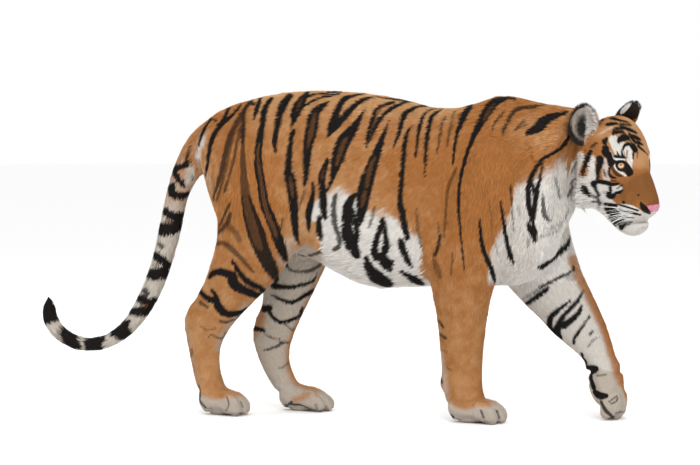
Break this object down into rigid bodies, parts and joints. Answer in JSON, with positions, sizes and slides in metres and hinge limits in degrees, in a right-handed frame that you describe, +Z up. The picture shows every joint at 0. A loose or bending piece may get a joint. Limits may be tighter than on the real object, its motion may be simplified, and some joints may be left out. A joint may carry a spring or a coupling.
{
  "type": "tiger",
  "caption": "Life-size still model of a striped tiger walking with its head lowered and its tail curled up at the tip.",
  "frame": {"origin": "on the floor, under the middle of the outline", "axes": "+X forward along the body, towards the shoulders and the head; +Y to the animal's left; +Z up"},
  "size_m": [1.9891, 0.3886, 1.0056],
  "materials": {
    "coat": "short fur, orange with black stripes, white below",
    "ear_fur": "short black fur with a white spot behind, long pale hair inside",
    "nose": "bare pink skin, slightly moist",
    "eye": "polished, amber with a round dark pupil"
  },
  "bodies": {
    "root": {"head": "coat", "lower_jaw": "coat", "nose_pad": "nose", "eye_right": "eye", "eye_left": "eye", "ear_right": "ear_fur", "ear_left": "ear_fur", "neck": "coat", "chest": "coat", "loin": "coat", "hindquarters": "coat", "upper_arm_right": "coat", "upper_arm_left": "coat", "foreleg_right": "coat", "foreleg_left": "coat", "paw_front_right": "coat", "paw_front_left": "coat", "thigh_right": "coat", "thigh_left": "coat", "hindleg_right": "coat", "hindleg_left": "coat", "paw_hind_right": "coat", "paw_hind_left": "coat", "tail_root": "coat", "tail_middle": "coat", "tail_end": "coat", "tail_tip": "coat"}
  },
  "joints": []
}
